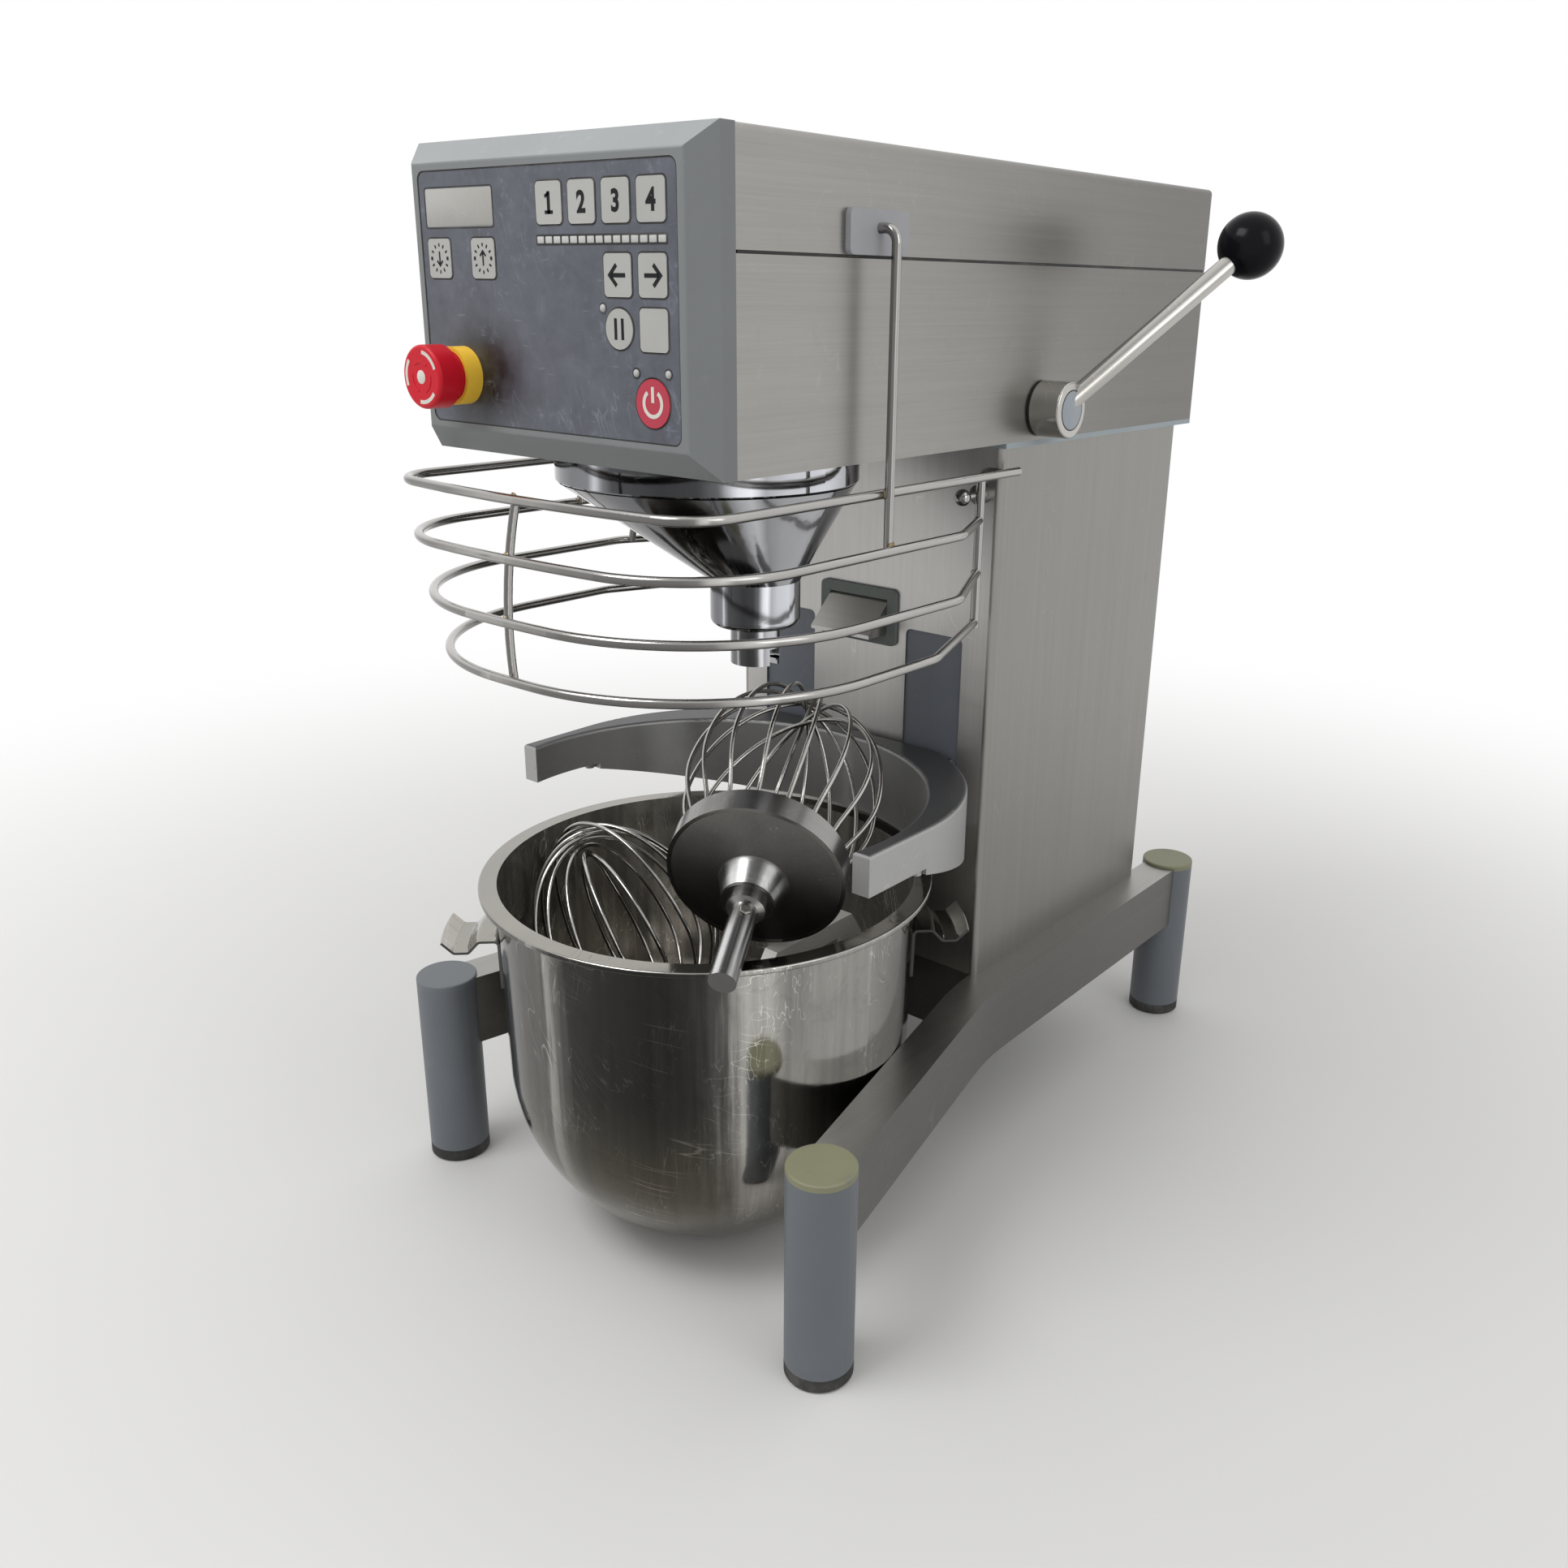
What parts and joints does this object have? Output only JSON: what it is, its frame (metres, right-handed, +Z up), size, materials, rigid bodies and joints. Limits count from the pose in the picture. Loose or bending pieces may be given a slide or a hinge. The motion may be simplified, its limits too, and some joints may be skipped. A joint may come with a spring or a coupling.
{
  "type": "commercial stand mixer",
  "caption": "Bench planetary mixer with steel head and column, wire bowl guard, lever-lifted bowl yoke, control panel and a loose bowl holding its mixing tools.",
  "frame": {"origin": "bottom centre of the box that holds the whole machine with its bowl, on the table", "axes": "+Z up, -Y towards the operator, +X towards the lift lever"},
  "size_m": [0.4878, 0.7409, 0.8115],
  "materials": {
    "head_steel": "brushed along the depth",
    "column_steel": "brushed upright",
    "beam_steel": "brushed along the beam",
    "post_paint": "satin",
    "cap_plastic": "satin moulding",
    "foot_rubber": "matt",
    "gasket_rubber": "matt",
    "hood_steel": "fine brushed",
    "bezel_plastic": "fine textured moulding",
    "foil": "fine textured foil",
    "key_plastic": "satin",
    "key_red": "satin",
    "board": "lacquered",
    "stop_yellow": "worn gloss",
    "stop_red": "gloss",
    "chassis_cast": "machined casting",
    "gear_steel": "oiled machined steel",
    "pulley_metal": "machined",
    "motor_paint": "satin",
    "belt_rubber": "matt",
    "band_chrome": "polished",
    "cone_metal": "polished",
    "lever_nickel": "worn polished",
    "knob_plastic": "gloss",
    "yoke_cast": "satin casting",
    "cover_paint": "scratched satin",
    "guard_wire": "polished",
    "bowl_steel": "polished, scratched",
    "whisk_wire": "polished",
    "whisk_hub": "cast face, machined rim",
    "beater_cast": "ground casting"
  },
  "bodies": {
    "stand_and_head": {"posts": "post_paint", "post_caps": "cap_plastic", "feet": "foot_rubber", "beam_left": "beam_steel", "beam_right": "beam_steel", "base_tray": "beam_steel", "column_shell": "column_steel", "column_front": "column_steel", "gaskets": "gasket_rubber", "sensor_hood": "hood_steel", "guard_catches": "guard_wire", "head_tray": "head_steel", "head_lid": "head_steel", "chassis": "chassis_cast", "bezel": "bezel_plastic", "panel_foil": "foil", "key_board": "board", "stop_collar": "stop_yellow", "guard_plates": "guard_wire", "chrome_band": "band_chrome", "ring_gear": "gear_steel", "main_bearings": "gear_steel", "motor": "motor_paint", "belt": "belt_rubber", "lift_bushes": "gear_steel", "guide_rods": "gear_steel"},
    "planet": {"main_shaft": "gear_steel", "drive_pulley": "pulley_metal", "planet_cone": "cone_metal", "spindle_bearings": "gear_steel"},
    "tool_spindle": {"spindle": "gear_steel", "pinion": "gear_steel", "tool_socket": "gear_steel"},
    "motor_rotor": {"motor_pulley": "pulley_metal"},
    "lift_lever": {"lever_arm": "lever_nickel", "lever_knob": "knob_plastic", "lift_shaft": "gear_steel"},
    "bowl_lift": {"yoke": "yoke_cast", "carriage": "gear_steel", "slot_covers": "cover_paint"},
    "guard": {"guard_cage": "guard_wire"},
    "emergency_stop": {"stop_cap": "stop_red"},
    "loose_bowl": {"bowl": "bowl_steel", "bowl_ears": "bowl_steel", "whisk_a_wires": "whisk_wire", "whisk_a_hub": "whisk_hub", "whisk_b_wires": "whisk_wire", "whisk_b_hub": "whisk_hub", "beater": "beater_cast"},
    "button_1": {"key_1": "key_plastic"},
    "button_2": {"key_2": "key_plastic"},
    "button_3": {"key_3": "key_plastic"},
    "button_4": {"key_4": "key_plastic"},
    "button_timer_down": {"key_timer_down": "key_plastic"},
    "button_timer_up": {"key_timer_up": "key_plastic"},
    "button_left": {"key_left": "key_plastic"},
    "button_right": {"key_right": "key_plastic"},
    "button_pause": {"key_pause": "key_plastic"},
    "button_blank": {"key_blank": "key_plastic"},
    "button_power": {"key_power": "key_red"}
  },
  "joints": [
    {"name": "planet_spin", "type": "hinge", "parent": "stand_and_head", "child": "planet", "pos_m": [-0.01222, -0.18172, 0.595], "axis": [0, 0, 1], "continuous": true},
    {"name": "spindle_spin", "type": "hinge", "parent": "planet", "child": "tool_spindle", "pos_m": [0.03278, -0.18172, 0.529], "axis": [0, 0, 1], "continuous": true},
    {"name": "motor_spin", "type": "hinge", "parent": "stand_and_head", "child": "motor_rotor", "pos_m": [-0.01222, 0.14247, 0.692], "axis": [0, 0, 1], "continuous": true},
    {"name": "lever_swing", "type": "hinge", "parent": "stand_and_head", "child": "lift_lever", "pos_m": [0.12378, 0.04648, 0.6405], "axis": [1, 0, 0], "range_deg": [0, 99]},
    {"name": "yoke_lift", "type": "slide", "parent": "stand_and_head", "child": "bowl_lift", "axis": [0, 0, 1], "range_m": [0, 0.065]},
    {"name": "guard_swing", "type": "hinge", "parent": "stand_and_head", "child": "guard", "pos_m": [-0.01222, -0.16903, 0.7616], "axis": [-1, 0, 0], "range_deg": [0, 80]},
    {"name": "stop_press", "type": "slide", "parent": "stand_and_head", "child": "emergency_stop", "axis": [0, 1, 0], "range_m": [0, 0.005], "stiffness_N_per_m": 600},
    {"name": "bowl_slide", "type": "slide", "parent": "stand_and_head", "child": "loose_bowl", "axis": [0, -1, 0], "range_m": [0, 0.3]},
    {"name": "press_1", "type": "slide", "parent": "stand_and_head", "child": "button_1", "axis": [0, 1, 0], "range_m": [0, 0.0008], "stiffness_N_per_m": 500},
    {"name": "press_2", "type": "slide", "parent": "stand_and_head", "child": "button_2", "axis": [0, 1, 0], "range_m": [0, 0.0008], "stiffness_N_per_m": 500},
    {"name": "press_3", "type": "slide", "parent": "stand_and_head", "child": "button_3", "axis": [0, 1, 0], "range_m": [0, 0.0008], "stiffness_N_per_m": 500},
    {"name": "press_4", "type": "slide", "parent": "stand_and_head", "child": "button_4", "axis": [0, 1, 0], "range_m": [0, 0.0008], "stiffness_N_per_m": 500},
    {"name": "press_timer_down", "type": "slide", "parent": "stand_and_head", "child": "button_timer_down", "axis": [0, 1, 0], "range_m": [0, 0.0008], "stiffness_N_per_m": 500},
    {"name": "press_timer_up", "type": "slide", "parent": "stand_and_head", "child": "button_timer_up", "axis": [0, 1, 0], "range_m": [0, 0.0008], "stiffness_N_per_m": 500},
    {"name": "press_left", "type": "slide", "parent": "stand_and_head", "child": "button_left", "axis": [0, 1, 0], "range_m": [0, 0.0008], "stiffness_N_per_m": 500},
    {"name": "press_right", "type": "slide", "parent": "stand_and_head", "child": "button_right", "axis": [0, 1, 0], "range_m": [0, 0.0008], "stiffness_N_per_m": 500},
    {"name": "press_pause", "type": "slide", "parent": "stand_and_head", "child": "button_pause", "axis": [0, 1, 0], "range_m": [0, 0.0008], "stiffness_N_per_m": 500},
    {"name": "press_blank", "type": "slide", "parent": "stand_and_head", "child": "button_blank", "axis": [0, 1, 0], "range_m": [0, 0.0008], "stiffness_N_per_m": 500},
    {"name": "press_power", "type": "slide", "parent": "stand_and_head", "child": "button_power", "axis": [0, 1, 0], "range_m": [0, 0.0008], "stiffness_N_per_m": 500}
  ],
  "couplings": [
    {"joint": "spindle_spin", "follows": "planet_spin", "ratio": -4},
    {"joint": "motor_spin", "follows": "planet_spin", "ratio": 3},
    {"joint": "yoke_lift", "follows": "lever_swing", "m_per_rad": 0.0375}
  ]
}
